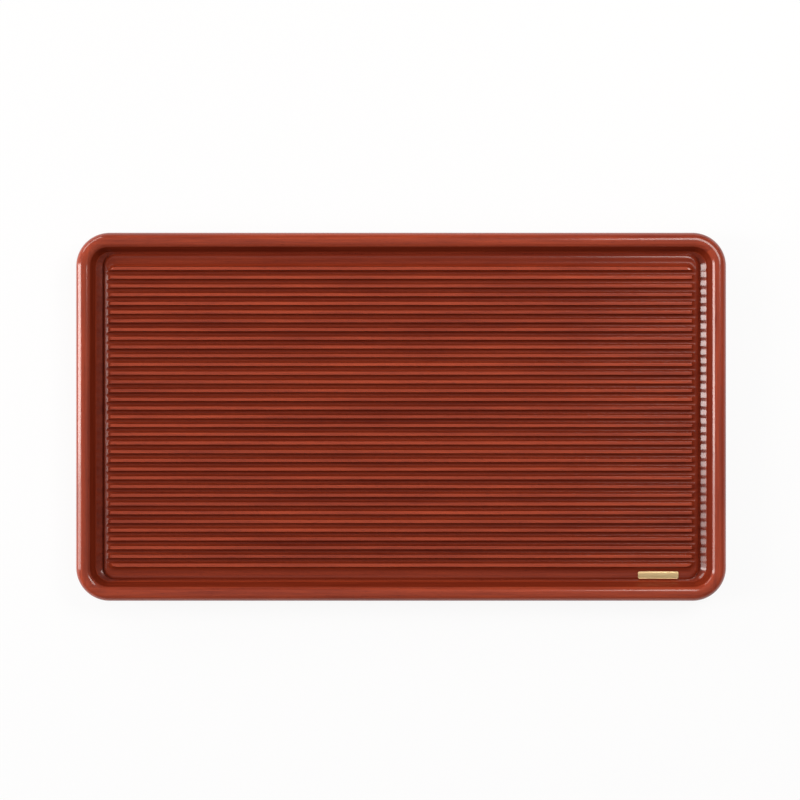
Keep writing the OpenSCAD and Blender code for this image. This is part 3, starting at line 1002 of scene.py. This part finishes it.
def copies(name, mesh, points, material, turn, sharp):
    """One mesh that holds a copy of the part on every point."""
    part = bpy.data.objects.new(name + " part", mesh)
    bpy.context.scene.collection.objects.link(part)
    spots = bpy.data.meshes.new(name + " points")
    spots.from_pydata(points, [], [])
    values = {"Part": part, "Turn": turn, "Seed": 7, "Material": material}
    piece = grow(name, spots, scatter, values)
    piece.data.set_sharp_from_angle(angle=math.radians(sharp))
    bpy.data.objects.remove(part)
    return piece


foot_nodes = ["foot_front_left", "foot_front_right", "foot_back_left", "foot_back_right"]
foot_places = []
for node in foot_nodes:
    low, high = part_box(node)
    foot_places.append(((low.x + high.x) / 2, (low.y + high.y) / 2, 0))
head_in = 0.5 * MM
full_turn = 4 * quarter
foot_heads = [(x, y, head_in) for x, y, _ in foot_places]
batten_heads = [(x, 0, wood_z + head_in) for x in (foot_places[0][0], 0, foot_places[1][0])]
feet = copies("rubber_feet", foot_mesh, foot_places, rubber, 0.0, 30)
place(feet, "foot_rubber", *foot_nodes)
screws = copies("foot_screws_steel", foot_screw, foot_heads, steel, full_turn, 35)
place(screws, "screw_steel", "foot_screws")
screws = copies("batten_screws_steel", batten_screw, batten_heads, steel, full_turn, 35)
place(screws, "screw_steel", "batten_screws")

# %% [markdown]
# ## Battens and splines
# The three battens under the panel and the thin splines in the mitres already have their right
# shapes in the CAD model, so they stay as they are and only take a finish.

# %% Battens and splines
kept = ["left_batten", "middle_batten", "right_batten"]
kept += [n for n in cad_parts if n.startswith("spline_")]
for node in kept:
    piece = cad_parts[node]
    piece.data.materials.clear()
    piece.data.materials.append(plain_wood)
print("kept from the CAD:", kept)

# %% [markdown]
# ## Floor, world and lamps
# The photograph's ground is pure white. The floor shows white to the camera and to reflections,
# mixed with a little ordinary floor that can carry a shadow. Further off it is all white, so that
# no horizon shows. For all other rays it is plain pale board.

# %% Floor
def light_path_mask(tree):
    """One for rays from the camera, from gloss and through glass."""
    rays = tree.nodes.new("ShaderNodeLightPath")
    seen = Rule(tree, rays.outputs["Is Camera Ray"]).most(Rule(tree, rays.outputs["Is Glossy Ray"]))
    return seen.most(Rule(tree, rays.outputs["Is Transmission Ray"]))


floor_mesh = bpy.data.meshes.new("floor")
floor_r, floor_sides = 8.0, 96
floor_angles = [k * full_turn / floor_sides for k in range(floor_sides)]
floor_mesh.from_pydata(
    [(floor_r * math.cos(a), floor_r * math.sin(a), 0) for a in floor_angles],
    [],
    [tuple(range(floor_sides))],
)
floor = bpy.data.objects.new("floor", floor_mesh)
bpy.context.scene.collection.objects.link(floor)
floor_material = bpy.data.materials.new("white studio floor")
floor_material.use_nodes = True
tree = floor_material.node_tree
tree.nodes.clear()
board_shader = tree.nodes.new("ShaderNodeBsdfDiffuse")
board_shader.inputs["Color"].default_value = (0.8, 0.8, 0.8, 1)
glow = tree.nodes.new("ShaderNodeEmission")
blend = tree.nodes.new("ShaderNodeMixShader")
out = tree.nodes.new("ShaderNodeOutputMaterial")
x, y, _ = split(tree, tree.nodes.new("ShaderNodeTexCoord").outputs["Object"])
fade_from, fade_to, near_glow = 0.8, 3.0, 0.9
far = remap((x * x + y * y).root(), fade_from, fade_to, near_glow, 1.0)
tree.links.new((light_path_mask(tree) * far).socket, blend.inputs[0])
tree.links.new(board_shader.outputs[0], blend.inputs[1])
tree.links.new(glow.outputs[0], blend.inputs[2])
tree.links.new(blend.outputs[0], out.inputs[0])
floor_mesh.materials.append(floor_material)
print("floor radius:", floor_r, "m")

# %% [markdown]
# The world is a dim grey room for light and white for the camera. Gloss near the horizon sees the
# white surround of a studio, which draws the light lines along the outer edges of the tray.

# %% World
world = bpy.data.worlds.new("studio")
bpy.context.scene.world = world
world.use_nodes = True
tree = world.node_tree
background = tree.nodes["Background"]
direction = tree.nodes.new("ShaderNodeTexCoord")
up = split(tree, direction.outputs["Generated"])[2]
rays = tree.nodes.new("ShaderNodeLightPath")
camera_ray, through_ray = (
    Rule(tree, rays.outputs[label]) for label in ("Is Camera Ray", "Is Transmission Ray")
)
surround_low, surround_high = 0.02, 0.14
surround = remap(up, surround_low, surround_high, 1.0, 0.0)
horizon = surround * Rule(tree, rays.outputs["Is Glossy Ray"])
white_part = camera_ray.most(through_ray).most(horizon)
grey, white = (0.2, 0.2, 0.205, 1), (1, 1, 1, 1)
room = mix_colour(tree, white_part, grey, white)
tree.links.new(room, background.inputs["Color"])
print("world:", world.name)

# %% [markdown]
# Five lamps, read off the highlights in the photograph. A tall window on the left makes the band
# along the left rail and, over the ends of the grooves, the row of bright dots down the right
# side. Both fade towards the front, so the front side of that window is dimmer. A low window
# behind on the left rounds the near right corner. A softbox behind on the right draws the line
# along the back rail and its corner, and a wide dim ceiling fills the rest.

# %% Lamps
warm_white = (1.0, 0.95, 0.92)


def lamp(name, spot, aim, width, height, power):
    light = bpy.data.lights.new(name, "AREA")
    light.shape = "RECTANGLE"
    light.size, light.size_y, light.energy = width, height, power
    light.color = warm_white
    holder = bpy.data.objects.new(name, light)
    holder.location = spot
    holder.rotation_euler = (Vector(aim) - Vector(spot)).to_track_quat("-Z", "Y").to_euler()
    bpy.context.scene.collection.objects.link(holder)
    print(f"{name}: {width} by {height} m, {power} W")


lamp("tall window", (-2.48, 0.15, 1.05), (-0.2, 0.13, 0.6), 0.6, 2.0, 56.0)
lamp("curtained side of the window", (-2.48, -0.32, 1.05), (-0.2, -0.34, 0.6), 0.34, 2.0, 15.0)
lamp("back window", (-1.7, 1.7, 0.9), (0.0, 0.0, 0.0), 1.6, 0.6, 20.0)
lamp("softbox", (0.77, 0.63, 1.20), (0.13, -0.137, 0.0), 0.86, 0.55, 13.0)
lamp("ceiling", (0.0, 0.0, 2.3), (0.0, 0.0, 0.0), 5.0, 5.0, 20.0)
